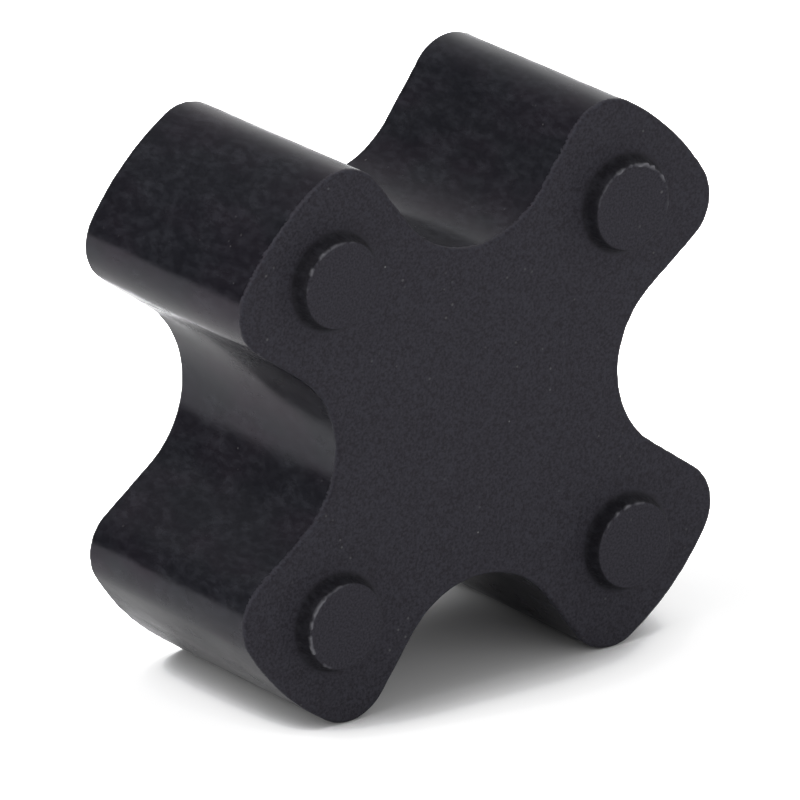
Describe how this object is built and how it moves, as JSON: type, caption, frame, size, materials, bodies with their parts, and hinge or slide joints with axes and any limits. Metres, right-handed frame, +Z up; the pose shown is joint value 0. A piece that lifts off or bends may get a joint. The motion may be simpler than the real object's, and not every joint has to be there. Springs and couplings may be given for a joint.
{
  "type": "jaw coupling spider",
  "caption": "Moulded black rubber spider for a jaw coupling: rounded legs with spacer nubs, and gaps that take the jaws of both hubs.",
  "frame": {"origin": "middle of the spider, on the coupling's axis and half-way between its two faces", "axes": "+Y along the coupling's axis from the front face to the back face, +Z up with the spider standing on its two lower legs, +X to the right seen from the front; the legs lie midway between the X and Z axes"},
  "size_m": [0.0232, 0.012, 0.0232],
  "materials": {
    "nitrile_rubber": "matte moulded rubber with a faint sheen, slightly grey with bloom and dust"
  },
  "bodies": {
    "root": {"spider": "nitrile_rubber"}
  },
  "joints": []
}
